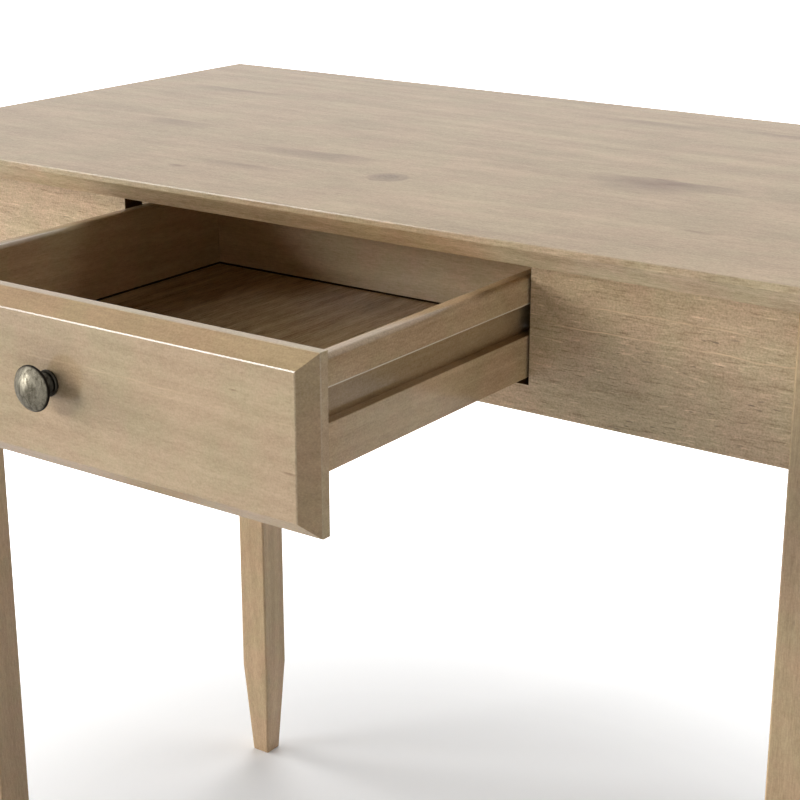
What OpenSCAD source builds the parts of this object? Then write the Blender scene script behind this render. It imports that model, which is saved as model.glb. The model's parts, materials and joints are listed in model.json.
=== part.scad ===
// Shaker writing desk: a thin-edged top on four tapered legs and four aprons, with one drawer
// that hangs on wooden runners. It is drawn with the drawer standing open.
// X runs along the front, Y towards the back and Z up from the floor.
// The origin is on the floor, midway between the sides, and midway between the knob and the
// back edge of the top.

/* [Desk] */
// Width of the top, side to side
desk_w = 914.4; // [760:0.1:1220]
// Depth of the top, front to back
desk_d = 508; // [500:1:610]
// Height of the top above the floor
desk_h = 762; // [700:1:800]

/* [Top] */
// Thickness of the top
top_t = 19; // [17:0.5:25]
// Height of the upright band left round the edge, above the bevel
top_band = 4.5; // [3:0.25:8]
// How far the bevel runs in under the top
top_bevel = 14.5; // [8:0.5:20]
// Radius of the eased upper edge
top_round = 1.5; // [0.5:0.25:2.5]
// How far the top reaches past the legs at each side
overhang_side = 45; // [30:0.5:60]
// How far the top reaches past the legs at the front and the back
overhang_front = 42; // [36:0.5:50]

/* [Legs] */
// Width of the square leg
leg_w = 34; // [32:0.5:45]
// Width of the leg at the floor
foot_w = 21; // [16:0.5:30]
// Height at which the taper starts
taper_h = 108; // [60:1:200]
// Width of the flat on the leg's eased edges
leg_ease = 1.6; // [0.6:0.1:3]

/* [Aprons] */
// Thickness of the aprons
apron_t = 19; // [17:0.5:22]
// Height of the aprons
apron_h = 112.5; // [104:0.5:140]
// How far the aprons lie behind the legs' outer faces
apron_setback = 3.25; // [1:0.25:6]
// Radius of the aprons' eased lower edges
apron_round = 1.5; // [0.5:0.25:3]

/* [Drawer opening] */
// Width of the cut-out in the front apron
opening_w = 370.2; // [300:0.1:420]
// Height of the rail left under the cut-out
opening_rail = 20.5; // [15:0.5:24]
// Radius of the cut-out's lower corners
opening_round = 4; // [2:0.5:8]

/* [Drawer] */
// How far the drawer stands open
drawer_open = 248.9; // [0:0.1:270]
// How far the drawer comes out before its stop meets the cleat
drawer_travel = 275; // [272:1:290]
// Length of the drawer's sides
box_len = 355; // [345:1:358]
// Thickness of the sides and the back
side_t = 12.7; // [12:0.1:16]
// Radius of the sides' rounded top edges
side_round = 4; // [1:0.5:5]
// Gap between a side and the edge of the cut-out
side_gap = 1.5; // [1:0.1:3]
// Gap between the sides and the rail under them
box_lift = 4.2; // [2:0.1:6]
// Distance from the underside of the top down to the sides' top edges
box_drop = 15.8; // [12:0.1:20]
// Thickness of the drawer front
front_t = 17.5; // [16:0.5:22]
// Width of the bevel round the drawer front
front_bevel = 10.4; // [6:0.1:12]
// How far the front laps past each side of the cut-out
front_lap = 20.4; // [12:0.1:30]
// How far the front reaches below the apron
front_drop = 1.4; // [0:0.1:4]
// Gap between the front and the underside of the top
front_gap = 1.7; // [1:0.1:4]

/* [Drawer bottom] */
// Thickness of the bottom panel
panel_t = 5.5; // [4:0.25:6.5]
// Height of the slot that holds the panel
panel_slot = 7; // [6.6:0.1:8]
// Depth of the slot
panel_in = 6; // [4:0.25:6.5]
// Wood left under the slot
panel_up = 3.9; // [3:0.1:5]

/* [Runners] */
// Height of the groove in each drawer side
groove_h = 21.6; // [18:0.1:24]
// Depth of the groove
groove_d = 7.2; // [5:0.1:8]
// Height of the groove above the side's lower edge
groove_up = 30.3; // [29:0.1:32]
// Width of a runner
runner_w = 38; // [34:0.5:50]

/* [Knob] */
// Diameter of the knob's head
knob_d = 30; // [26:0.5:38]
// Diameter of the knob's base
knob_base_d = 17.2; // [15:0.1:22]
// How far the knob stands out from the drawer
knob_reach = 22; // [20:0.5:28]
// Height of the knob above the drawer front's lower edge
knob_up = 59.1; // [45:0.1:70]

/* [Corner blocks] */
// Thickness of a corner block
block_t = 22; // [20:0.5:26]
// Height of a corner block
block_h = 70; // [66:1:78]
// Gap between a corner block and the leg's inner corner
block_gap = 1.5; // [0.5:0.25:3]
// Thread diameter of the hanger bolts
bolt_d = 6; // [5:0.5:7]
// How far a hanger bolt is screwed into the leg
bolt_in = 28; // [20:1:32]

/* [Cleats] */
// Width and height of the strips that hold the top
cleat_w = 18; // [16:0.5:20]
// Length of the strips at the sides
cleat_side_len = 240; // [160:5:260]
// Length of the strip at the back
cleat_back_len = 400; // [300:5:440]
// Length of the cross strip that stops the drawer
cleat_stop_len = 300; // [200:5:340]

/* [Fastenings] */
// Diameter of the dowels between aprons and legs
dowel_d = 8; // [6:0.5:8]
// Diameter of the dowels in the runners and the drawer
pin_d = 6; // [5:0.5:6]
// Diameter of the wood screws
screw_d = 4; // [3.5:0.25:4.5]
// Diameter of the wood screws' heads
screw_head_d = 8; // [7:0.25:8.5]

/* [Hidden] */

// Sides and ends: left and front are -1, right and back are 1
LEFT = -1;
RIGHT = 1;
FRONT = -1;
BACK = 1;

$fn = 48;

// Clearance round a dowel, bolt or screw in its hole
fit = 0.05;
// Extra length that a cut takes past the face it opens
past = 1;

// Heights
under_z = desk_h - top_t;
apron_z = under_z - apron_h;
apron_mid = apron_z + apron_h / 2;
opening_z = apron_z + opening_rail;
box_z = opening_z + box_lift;
box_top = under_z - box_drop;
box_h = box_top - box_z;
groove_z = box_z + groove_up;
panel_z = box_z + panel_up;
front_z = apron_z - front_drop;
front_top = under_z - front_gap;
front_mid = (front_z + front_top) / 2;
front_h = front_top - front_z;
knob_z = front_z + knob_up;

// Places in plan, measured from the middle of the desk
leg_x = desk_w / 2 - overhang_side;
leg_y = desk_d / 2 - overhang_front;
inner_x = leg_x - apron_setback - apron_t;
inner_y = leg_y - apron_setback - apron_t;
apron_y = apron_setback - leg_y;
leg_corner = leg_w - apron_setback - apron_t;

// The drawer: its own zero along Y is the back face of its front
shut_gap = 0.3;
drawer_y = apron_y - shut_gap - drawer_open;
box_w = opening_w - 2 * side_gap;
inside_w = box_w - 2 * side_t;
front_w = opening_w + 2 * front_lap;
panel_play = 0.5;
panel_edge = panel_in - panel_play;
joint_rise = 20.5;
joint_drop = 12;
joint_low = box_z + joint_rise;
joint_high = box_top - joint_drop;
front_pin_in = 9;
side_pin_in = 20;

// Runners
runner_play = 0.6;
runner_gap = 0.3;
runner_slack = 1.3;
runner_x = box_w / 2 - groove_d + runner_play;
runner_z = groove_z + runner_slack;
runner_h = groove_h - runner_slack - runner_gap;
runner_pin_edge = 9;
runner_pin_in = 20;
apron_pin_in = 12;

// The drawer's stop and the cleat it meets
stop_gap = 0.3;
stop_clear = 3.8;
stop_w = 30;
stop_t = 12;
stop_h = 34;
stop_drop = 4;
stop_top = under_z - stop_drop;
stop_screw_spread = 8;
cleat_stop_t = box_drop - stop_clear;
cleat_stop_y = apron_y - shut_gap - drawer_travel + box_len - stop_gap;

// Corner blocks, measured along the diagonal from the inner corner of two aprons
block_near = leg_corner * sqrt(2) + block_gap;
block_far = block_near + block_t;
block_screw_u = (block_near + block_far) / sqrt(2);
block_seat = 10;
bolt_spread = 13;
washer_t = 1.6;
washer_d = 18;
washer_play = 0.3;
nut_t = 5;
nut_flats = bolt_d + 4;
bolt_spare = 3;
bolt_play = 0.5;
bolt_tip = 4;
bolt_tip_r = 0.6;
bolt_ease = 0.7;

// Dowels between aprons and legs, at heights that keep the two rows of a leg apart
dowel_in_leg = 15;
dowel_in_apron = 20;
dowel_edge = 15;
dowel_step = 12.5;
front_dowel_z = [apron_z + dowel_edge, under_z - dowel_edge - dowel_step];
side_dowel_z = [apron_z + dowel_edge + dowel_step, under_z - dowel_edge];

// Screws
block_screw_spread = 25;
block_screw_z = [apron_mid - block_screw_spread, apron_mid + block_screw_spread];
block_screw_len = 22;
cleat_screw_len = 29;
top_screw_len = 29;
stop_cleat_screw_in = 11;
stop_cleat_screw_len = cleat_stop_t + stop_cleat_screw_in;
drawer_screw_len = 40;
stop_screw_len = 22;
screw_tip = 3;
screw_tip_r = 0.5;
pan_h = 2.4;
pan_sink = 24;
pan_play = 0.25;
cross_share = 0.55;
cross_t = 0.9;
cross_deep = 1.2;
knob_screw_d = 4;
knob_screw_head_d = 8;
knob_screw_in = 8;
knob_screw_play = 0.25;
cleat_screw_edge = 20;
top_screw_edge = 50;

// The knob's outline, measured out from the drawer's face
knob_base_t = 2.4;
knob_neck_d = 9.6;
knob_rim = 13.5;
knob_rim_t = 1.6;
knob_ease = 0.5;
knob_ring_in = 1.6;
knob_ring_t = 1;
knob_flare_t = 1.5;
knob_dome_share = 0.985;

// How far the knob stands in front of the top's front edge, and the shift that centres the whole
knob_front = -drawer_y + front_t + knob_reach - desk_d / 2;
shift_y = knob_front / 2;

WOOD = [0.75, 0.66, 0.53];
INNER_WOOD = [0.68, 0.57, 0.43];
STEEL = [0.62, 0.62, 0.6];
PEWTER = [0.42, 0.4, 0.36];

// Points on an arc about x, y, from one angle to another
function arc(x, y, r, from, to, steps = 6) =
    [for (i = [0:steps]) let (a = from + (to - from) * i / steps) [x + r * cos(a), y + r * sin(a)]];

// Outline of a strip that stands on y = 0 and has rounded top edges
function round_top(w, h, r) =
    concat([[-w / 2, 0], [w / 2, 0]],
        arc(w / 2 - r, h - r, r, 0, 90), arc(r - w / 2, h - r, r, 90, 180));

// Outline of the top across one of its spans, with heights as they stand
function top_outline(span) =
    concat([[top_bevel - span / 2, under_z], [span / 2 - top_bevel, under_z],
            [span / 2, desk_h - top_round - top_band]],
        arc(span / 2 - top_round, desk_h - top_round, top_round, 0, 90),
        arc(top_round - span / 2, desk_h - top_round, top_round, 90, 180),
        [[-span / 2, desk_h - top_round - top_band]]);

// Outline of the bevelled drawer front across one of its spans: first across, then depth
function front_outline(span) =
    [[-span / 2, 0], [span / 2, 0], [span / 2, front_bevel - front_t],
        [span / 2 - front_bevel, -front_t], [front_bevel - span / 2, -front_t],
        [-span / 2, front_bevel - front_t]];

// Outline of the leg's tapered foot, w wide where it leaves the square and f wide at the floor
function foot_outline(w, f) = [[-f / 2, 0], [f / 2, 0], [w / 2, taper_h], [-w / 2, taper_h]];

// Outline of a square post with its four edges taken off, seen from above
function post_outline(w, ease) =
    let (half = w / 2, cut = ease / sqrt(2))
    [for (turn = [0, 90, 180, 270], p = [[half, cut - half], [half, half - cut]])
        [p[0] * cos(turn) - p[1] * sin(turn), p[0] * sin(turn) + p[1] * cos(turn)]];

// Extrudes an outline drawn in Y and Z along X
module along_x(len) {
    rotate([90, 0, 90]) linear_extrude(height = len, center = true) children();
}

// Extrudes an outline drawn in X and Z along Y
module along_y(len) {
    rotate([90, 0, 0]) linear_extrude(height = len, center = true) children();
}

module flip_x(on) {
    if (on) mirror([1, 0, 0]) children();
    else children();
}

module flip_y(on) {
    if (on) mirror([0, 1, 0]) children();
    else children();
}

// Moves the finished desk to its origin
module placed() {
    translate([0, shift_y, 0]) children();
}

module placed_drawer() {
    translate([0, shift_y + drawer_y, 0]) children();
}

// A corner's own frame: zero where the inner faces of two aprons meet, X and Y into the desk
module at_corner(side, end) {
    flip_x(side == RIGHT) flip_y(end == BACK) translate([-inner_x, -inner_y, 0]) children();
}

module at_corners() {
    for (side = [LEFT, RIGHT], end = [FRONT, BACK]) at_corner(side, end) children();
}

// Fastenings. Each is drawn along Z, pointing down into the wood from its seat at zero.
// A gap above zero makes it the hole for itself.
module wood_screw(len, gap = 0) {
    r = screw_d / 2;
    head_r = screw_head_d / 2;
    difference() {
        union() {
            translate([0, 0, r - head_r]) cylinder(h = head_r - r, r1 = r + gap, r2 = head_r + gap);
            translate([0, 0, screw_tip - len]) cylinder(h = len - screw_tip + r - head_r, r = r + gap);
            translate([0, 0, -len - gap]) cylinder(h = screw_tip + gap, r1 = screw_tip_r, r2 = r + gap);
            if (gap > 0) cylinder(h = past, r = head_r + gap);
        }
        if (gap == 0) driver_cross(screw_head_d * cross_share);
    }
}

module pan_screw(len, d, head_d, gap = 0) {
    translate([0, 0, -len]) cylinder(h = len, r = d / 2 + gap);
    difference() {
        cylinder(h = pan_h, r = head_d / 2 + gap);
        if (gap == 0) translate([0, 0, pan_h]) driver_cross(head_d * cross_share);
    }
    if (gap > 0) cylinder(h = pan_sink, r = head_d / 2 + pan_play);
}

// The cross that takes the screwdriver
module driver_cross(w) {
    for (turn = [0, 90]) rotate([0, 0, turn]) cube([w, cross_t, 2 * cross_deep], center = true);
}

// A dowel that goes down into one piece and up into another
module dowel(d, down, up) {
    chamfer = 1;
    translate([0, 0, -down]) cylinder(h = chamfer, r1 = d / 2 - chamfer / 2, r2 = d / 2);
    translate([0, 0, chamfer - down]) cylinder(h = down + up - 2 * chamfer, r = d / 2);
    translate([0, 0, up - chamfer]) cylinder(h = chamfer, r1 = d / 2, r2 = d / 2 - chamfer / 2);
}

module dowel_hole(d, down, up) {
    translate([0, 0, -down - past]) cylinder(h = down + up + 2 * past, r = d / 2 + fit);
}

// Places of the fastenings, each turned so that its Z axis is theirs
module corner_dowels() {
    for (z = front_dowel_z) translate([leg_corner, -apron_t / 2, z]) rotate([0, 90, 0]) children();
    mirror([1, -1, 0])
        for (z = side_dowel_z) translate([leg_corner, -apron_t / 2, z]) rotate([0, 90, 0]) children();
}

module corner_bolts() {
    for (z = [apron_mid - bolt_spread, apron_mid + bolt_spread])
        translate([0, 0, z]) rotate([0, 0, 45]) rotate([0, 90, 0]) children();
}

module corner_screws() {
    for (z = block_screw_z) {
        translate([block_screw_u, block_seat, z]) rotate([-90, 0, 0]) children();
        mirror([1, -1, 0]) translate([block_screw_u, block_seat, z]) rotate([-90, 0, 0]) children();
    }
}

module runner_pins() {
    pin_x = [runner_x + runner_w - runner_pin_edge, runner_x + runner_w - 2 * runner_pin_edge - pin_d / 2];
    for (side = [LEFT, RIGHT], end = [FRONT, BACK], x = pin_x)
        flip_x(side == LEFT) flip_y(end == BACK)
            translate([x, -inner_y, runner_z + runner_h / 2]) rotate([-90, 0, 0]) children();
}

// Screws through the cleats sideways, into the aprons
module side_cleat_screws(side) {
    for (y = [-1, 0, 1] * (cleat_side_len / 2 - cleat_screw_edge))
        flip_x(side == LEFT) translate([inner_x - cleat_w, y, under_z - cleat_w / 2])
            rotate([0, -90, 0]) children();
}

module back_cleat_screws() {
    for (x = [-1, 0, 1] * (cleat_back_len / 2 - cleat_screw_edge))
        translate([x, inner_y - cleat_w, under_z - cleat_w / 2]) rotate([90, 0, 0]) children();
}

// Screws up through the cleats, into the top
module side_top_screws() {
    for (side = [LEFT, RIGHT], y = [-1, 1] * (cleat_side_len / 2 - top_screw_edge))
        translate([side * (inner_x - cleat_w / 2), y, under_z - cleat_w]) rotate([180, 0, 0]) children();
}

module back_top_screws() {
    for (x = [-1, 1] * (cleat_back_len / 2 - top_screw_edge))
        translate([x, inner_y - cleat_w / 2, under_z - cleat_w]) rotate([180, 0, 0]) children();
}

module stop_cleat_screws() {
    for (x = [-1, 1] * (cleat_stop_len / 2 - cleat_screw_edge))
        translate([x, cleat_stop_y - cleat_w / 2, under_z - cleat_stop_t]) rotate([180, 0, 0]) children();
}

// Places in the drawer's frame
module front_pins() {
    for (side = [LEFT, RIGHT], z = [joint_low, joint_high])
        translate([side * (box_w - side_t) / 2, 0, z]) rotate([-90, 0, 0]) children();
}

module back_screws() {
    for (side = [LEFT, RIGHT], z = [joint_low, joint_high])
        flip_x(side == LEFT) translate([box_w / 2, box_len - side_t / 2, z]) rotate([0, 90, 0]) children();
}

module stop_screw_places() {
    for (x = [-stop_screw_spread, stop_screw_spread])
        translate([x, box_len + stop_t, joint_high]) rotate([-90, 0, 0]) children();
}

module knob_screw_place() {
    translate([0, 0, knob_z]) rotate([-90, 0, 0]) children();
}

// Top
module tabletop() {
    color(WOOD) placed() difference() {
        intersection() {
            along_x(desk_w + past) polygon(top_outline(desk_d));
            along_y(desk_d + past) polygon(top_outline(desk_w));
        }
        side_top_screws() wood_screw(top_screw_len, fit);
        back_top_screws() wood_screw(top_screw_len, fit);
        stop_cleat_screws() wood_screw(stop_cleat_screw_len, fit);
    }
}

// Legs
module leg_blank() {
    translate([0, 0, taper_h]) linear_extrude(height = under_z - taper_h)
        polygon(post_outline(leg_w, leg_ease));
    intersection() {
        tapered_square(leg_w, foot_w);
        rotate([0, 0, 45]) tapered_square(leg_w * sqrt(2) - leg_ease, foot_w * sqrt(2) - leg_ease);
    }
}

module tapered_square(w, f) {
    intersection() {
        along_x(2 * leg_w) polygon(foot_outline(w, f));
        along_y(2 * leg_w) polygon(foot_outline(w, f));
    }
}

module leg(side, end) {
    middle = leg_corner - leg_w / 2;
    color(WOOD) placed() at_corner(side, end) difference() {
        translate([middle, middle, 0]) leg_blank();
        corner_dowels() dowel_hole(dowel_d, dowel_in_leg, dowel_in_apron);
        corner_bolts() bolt_hole(bolt_d / 2 + fit);
    }
}

// Aprons
module apron_outline() {
    polygon([for (p = round_top(apron_t, apron_h, apron_round)) [p[0], under_z - p[1]]]);
}

module apron_holes() {
    corner_dowels() dowel_hole(dowel_d, dowel_in_leg, dowel_in_apron);
    corner_screws() pan_screw(block_screw_len, screw_d, screw_head_d, fit);
}

// The front or the back apron, before the drawer's cut-out
module long_apron(end) {
    difference() {
        translate([0, end * (inner_y + apron_t / 2), 0])
            along_x(2 * (leg_x - leg_w)) apron_outline();
        for (side = [LEFT, RIGHT]) at_corner(side, end) apron_holes();
        runner_pins() dowel_hole(pin_d, apron_pin_in, runner_pin_in);
    }
}

module opening_cut() {
    r = opening_round;
    deep = apron_t + 2 * past;
    front = -inner_y - apron_t - past;
    translate([-opening_w / 2, front, opening_z + r]) cube([opening_w, deep, apron_h]);
    translate([r - opening_w / 2, front, opening_z]) cube([opening_w - 2 * r, deep, r + past]);
    for (side = [LEFT, RIGHT])
        translate([side * (opening_w / 2 - r), front, opening_z + r])
            rotate([-90, 0, 0]) cylinder(h = deep, r = r);
}

module apron_front() {
    color(WOOD) placed() difference() {
        long_apron(FRONT);
        opening_cut();
    }
}

module apron_back() {
    color(WOOD) placed() difference() {
        long_apron(BACK);
        back_cleat_screws() wood_screw(cleat_screw_len, fit);
    }
}

module side_apron(side) {
    color(WOOD) placed() difference() {
        translate([side * (inner_x + apron_t / 2), 0, 0])
            along_y(2 * (leg_y - leg_w)) apron_outline();
        for (end = [FRONT, BACK]) at_corner(side, end) apron_holes();
        side_cleat_screws(side) wood_screw(cleat_screw_len, fit);
    }
}

// Corner blocks and their bolts
module bolt_hole(r) {
    start = leg_corner * sqrt(2) - bolt_in - past;
    translate([0, 0, start]) cylinder(h = block_far + past - start, r = r);
}

module corner_block(side, end) {
    near = block_near * sqrt(2);
    far = block_far * sqrt(2);
    color(INNER_WOOD) placed() at_corner(side, end) difference() {
        translate([0, 0, apron_mid - block_h / 2]) linear_extrude(height = block_h)
            polygon([[near, 0], [far, 0], [0, far], [0, near]]);
        corner_bolts() bolt_hole(bolt_d / 2 + bolt_play);
        corner_screws() pan_screw(block_screw_len, screw_d, screw_head_d, fit);
    }
}

module hanger_bolts() {
    start = leg_corner * sqrt(2) - bolt_in;
    end = block_far + washer_t + nut_t + bolt_spare;
    r = bolt_d / 2;
    color(STEEL) placed() at_corners() corner_bolts() rotate_extrude()
        polygon([[0, start], [bolt_tip_r, start], [r, start + bolt_tip], [r, end - bolt_ease],
            [r - bolt_ease, end], [0, end]]);
}

module bolt_washers() {
    color(STEEL) placed() at_corners() corner_bolts() translate([0, 0, block_far]) difference() {
        cylinder(h = washer_t, r = washer_d / 2);
        translate([0, 0, -past]) cylinder(h = washer_t + 2 * past, r = bolt_d / 2 + washer_play);
    }
}

module bolt_nuts() {
    color(STEEL) placed() at_corners() corner_bolts() translate([0, 0, block_far + washer_t]) difference() {
        cylinder(h = nut_t, r = nut_flats / sqrt(3), $fn = 6);
        translate([0, 0, -past]) cylinder(h = nut_t + 2 * past, r = bolt_d / 2 + fit);
    }
}

module block_screws() {
    color(STEEL) placed() at_corners() corner_screws()
        pan_screw(block_screw_len, screw_d, screw_head_d);
}

module apron_dowels() {
    color(INNER_WOOD) placed() at_corners() corner_dowels()
        dowel(dowel_d, dowel_in_leg, dowel_in_apron);
}

// Runners
module runner(side) {
    color(INNER_WOOD) placed() difference() {
        flip_x(side == LEFT) translate([runner_x, -inner_y, runner_z])
            cube([runner_w, 2 * inner_y, runner_h]);
        runner_pins() dowel_hole(pin_d, apron_pin_in, runner_pin_in);
    }
}

module runner_dowels() {
    color(INNER_WOOD) placed() runner_pins() dowel(pin_d, apron_pin_in, runner_pin_in);
}

// Cleats
module top_cleat_side(side) {
    color(INNER_WOOD) placed() difference() {
        flip_x(side == LEFT)
            translate([inner_x - cleat_w, -cleat_side_len / 2, under_z - cleat_w])
            cube([cleat_w, cleat_side_len, cleat_w]);
        side_cleat_screws(side) wood_screw(cleat_screw_len, fit);
        side_top_screws() wood_screw(top_screw_len, fit);
    }
}

module top_cleat_back() {
    color(INNER_WOOD) placed() difference() {
        translate([-cleat_back_len / 2, inner_y - cleat_w, under_z - cleat_w])
            cube([cleat_back_len, cleat_w, cleat_w]);
        back_cleat_screws() wood_screw(cleat_screw_len, fit);
        back_top_screws() wood_screw(top_screw_len, fit);
    }
}

module stop_cleat() {
    color(INNER_WOOD) placed() difference() {
        translate([-cleat_stop_len / 2, cleat_stop_y - cleat_w, under_z - cleat_stop_t])
            cube([cleat_stop_len, cleat_w, cleat_stop_t]);
        stop_cleat_screws() wood_screw(stop_cleat_screw_len, fit);
    }
}

module cleat_screws() {
    color(STEEL) placed() {
        side_cleat_screws(LEFT) wood_screw(cleat_screw_len);
        side_cleat_screws(RIGHT) wood_screw(cleat_screw_len);
        back_cleat_screws() wood_screw(cleat_screw_len);
    }
}

module top_screws() {
    color(STEEL) placed() {
        side_top_screws() wood_screw(top_screw_len);
        back_top_screws() wood_screw(top_screw_len);
        stop_cleat_screws() wood_screw(stop_cleat_screw_len);
    }
}

// Drawer
module panel_slot_cut() {
    reach = inside_w / 2 + panel_in;
    translate([-reach, -panel_in, panel_z]) cube([2 * reach, box_len - side_t + 2 * panel_in, panel_slot]);
}

module drawer_front() {
    color(WOOD) placed_drawer() difference() {
        intersection() {
            along_x(front_w + past)
                polygon([for (p = front_outline(front_h)) [p[1], p[0] + front_mid]]);
            translate([0, 0, front_z - past]) linear_extrude(height = front_h + 2 * past)
                polygon(front_outline(front_w));
        }
        panel_slot_cut();
        front_pins() dowel_hole(pin_d, front_pin_in, side_pin_in);
        knob_screw_place() translate([0, 0, -front_t - past])
            cylinder(h = front_t + 2 * past, r = knob_screw_d / 2 + knob_screw_play);
    }
}

// A drawer side or the back, standing on the box's lower edge
module box_outline(grooved) {
    difference() {
        translate([0, box_z]) polygon(round_top(side_t, box_h, side_round));
        if (grooved) translate([side_t / 2 - groove_d, groove_z]) square([groove_d + past, groove_h]);
    }
}

module drawer_side(side) {
    color(WOOD) placed_drawer() difference() {
        flip_x(side == LEFT) translate([(box_w - side_t) / 2, box_len / 2, 0])
            along_y(box_len) box_outline(true);
        panel_slot_cut();
        front_pins() dowel_hole(pin_d, front_pin_in, side_pin_in);
        back_screws() wood_screw(drawer_screw_len, fit);
    }
}

module drawer_back() {
    color(WOOD) placed_drawer() difference() {
        translate([0, box_len - side_t / 2, 0]) along_x(inside_w) box_outline(false);
        panel_slot_cut();
        back_screws() wood_screw(drawer_screw_len, fit);
        stop_screw_places() wood_screw(stop_screw_len, fit);
    }
}

module drawer_bottom() {
    reach = inside_w / 2 + panel_edge;
    color(INNER_WOOD) placed_drawer() translate([-reach, -panel_edge, panel_z])
        cube([2 * reach, box_len - side_t + 2 * panel_edge, panel_t]);
}

module drawer_dowels() {
    color(INNER_WOOD) placed_drawer() front_pins() dowel(pin_d, front_pin_in, side_pin_in);
}

module drawer_screws() {
    color(STEEL) placed_drawer() back_screws() wood_screw(drawer_screw_len);
}

module drawer_stop() {
    color(INNER_WOOD) placed_drawer() difference() {
        translate([-stop_w / 2, box_len, stop_top - stop_h]) cube([stop_w, stop_t, stop_h]);
        stop_screw_places() wood_screw(stop_screw_len, fit);
    }
}

module stop_screws() {
    color(STEEL) placed_drawer() stop_screw_places() wood_screw(stop_screw_len);
}

// Knob: base with a step, waisted neck, thin-rimmed head with a low dome
function knob_outline() =
    let (base_r = knob_base_d / 2,
        neck_r = knob_neck_d / 2,
        rim_r = knob_d / 2,
        ring_r = base_r - knob_ring_in,
        neck_z = knob_base_t + knob_ring_t,
        neck_end = knob_rim - knob_flare_t,
        crown = knob_reach - knob_rim - knob_rim_t,
        ball = (rim_r * rim_r + crown * crown) / (2 * crown),
        spread = asin(rim_r / ball))
    concat([[0, 0], [base_r, 0], [base_r, knob_base_t - knob_ease], [base_r - knob_ease, knob_base_t],
            [ring_r, knob_base_t], [ring_r, neck_z]],
        [for (i = [0:8]) let (t = i / 8)
            [neck_r + (ring_r - knob_ease - neck_r) * pow(2 * t - 1, 2), neck_z + t * (neck_end - neck_z)]],
        [[rim_r - 2 * knob_flare_t, knob_rim - knob_flare_t / 2], [rim_r - knob_ease, knob_rim],
            [rim_r, knob_rim + knob_ease], [rim_r, knob_rim + knob_rim_t - knob_ease]],
        [for (i = [0:10]) let (a = spread * (1 - i / 10) * knob_dome_share)
            [ball * sin(a), knob_reach - ball + ball * cos(a)]]);

module knob() {
    color(PEWTER) placed_drawer() translate([0, -front_t, knob_z]) rotate([90, 0, 0]) difference() {
        rotate_extrude($fn = 72) polygon(knob_outline());
        translate([0, 0, -past]) cylinder(h = knob_screw_in + 2 * past, r = knob_screw_d / 2 + fit);
    }
}

module knob_screw() {
    color(STEEL) placed_drawer() knob_screw_place()
        pan_screw(front_t + knob_screw_in, knob_screw_d, knob_screw_head_d);
}

tabletop();
leg(LEFT, FRONT);  // leg_front_left
leg(RIGHT, FRONT);  // leg_front_right
leg(LEFT, BACK);  // leg_back_left
leg(RIGHT, BACK);  // leg_back_right
apron_front();
apron_back();
side_apron(LEFT);  // apron_left
side_apron(RIGHT);  // apron_right
corner_block(LEFT, FRONT);  // corner_block_front_left
corner_block(RIGHT, FRONT);  // corner_block_front_right
corner_block(LEFT, BACK);  // corner_block_back_left
corner_block(RIGHT, BACK);  // corner_block_back_right
hanger_bolts();
bolt_washers();
bolt_nuts();
block_screws();
apron_dowels();
runner(LEFT);  // runner_left
runner(RIGHT);  // runner_right
runner_dowels();
top_cleat_side(LEFT);  // top_cleat_left
top_cleat_side(RIGHT);  // top_cleat_right
top_cleat_back();
stop_cleat();
cleat_screws();
top_screws();
drawer_front();
drawer_side(LEFT);  // drawer_side_left
drawer_side(RIGHT);  // drawer_side_right
drawer_back();
drawer_bottom();
drawer_dowels();
drawer_screws();
drawer_stop();
stop_screws();
knob();
knob_screw();
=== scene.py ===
"""The looks of the shaker writing desk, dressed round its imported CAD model."""

import json
import math

import bmesh
import bpy
from mathutils import Matrix, Vector

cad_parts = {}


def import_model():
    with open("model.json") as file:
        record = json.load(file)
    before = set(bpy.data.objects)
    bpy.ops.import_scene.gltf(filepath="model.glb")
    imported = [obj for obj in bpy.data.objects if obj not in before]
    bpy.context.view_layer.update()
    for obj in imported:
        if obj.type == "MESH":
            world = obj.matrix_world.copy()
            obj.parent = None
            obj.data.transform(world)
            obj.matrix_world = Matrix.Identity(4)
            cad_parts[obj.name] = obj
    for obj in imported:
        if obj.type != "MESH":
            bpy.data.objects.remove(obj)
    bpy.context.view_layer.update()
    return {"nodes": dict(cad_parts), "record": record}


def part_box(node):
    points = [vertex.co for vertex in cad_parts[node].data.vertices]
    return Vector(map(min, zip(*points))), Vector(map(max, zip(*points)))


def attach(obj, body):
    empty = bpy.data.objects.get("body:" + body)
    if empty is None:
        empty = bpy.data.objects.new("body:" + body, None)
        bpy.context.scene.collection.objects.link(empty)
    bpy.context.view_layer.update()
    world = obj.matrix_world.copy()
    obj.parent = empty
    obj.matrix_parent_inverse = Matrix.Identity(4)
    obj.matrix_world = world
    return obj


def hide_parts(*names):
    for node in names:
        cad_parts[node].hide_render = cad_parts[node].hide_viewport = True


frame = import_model()

MM = 0.001
# Places less than a hair apart are the same. NEAR is a wider margin, for picking out faces.
HAIR = 0.02 * MM
NEAR = 0.1 * MM

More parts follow.
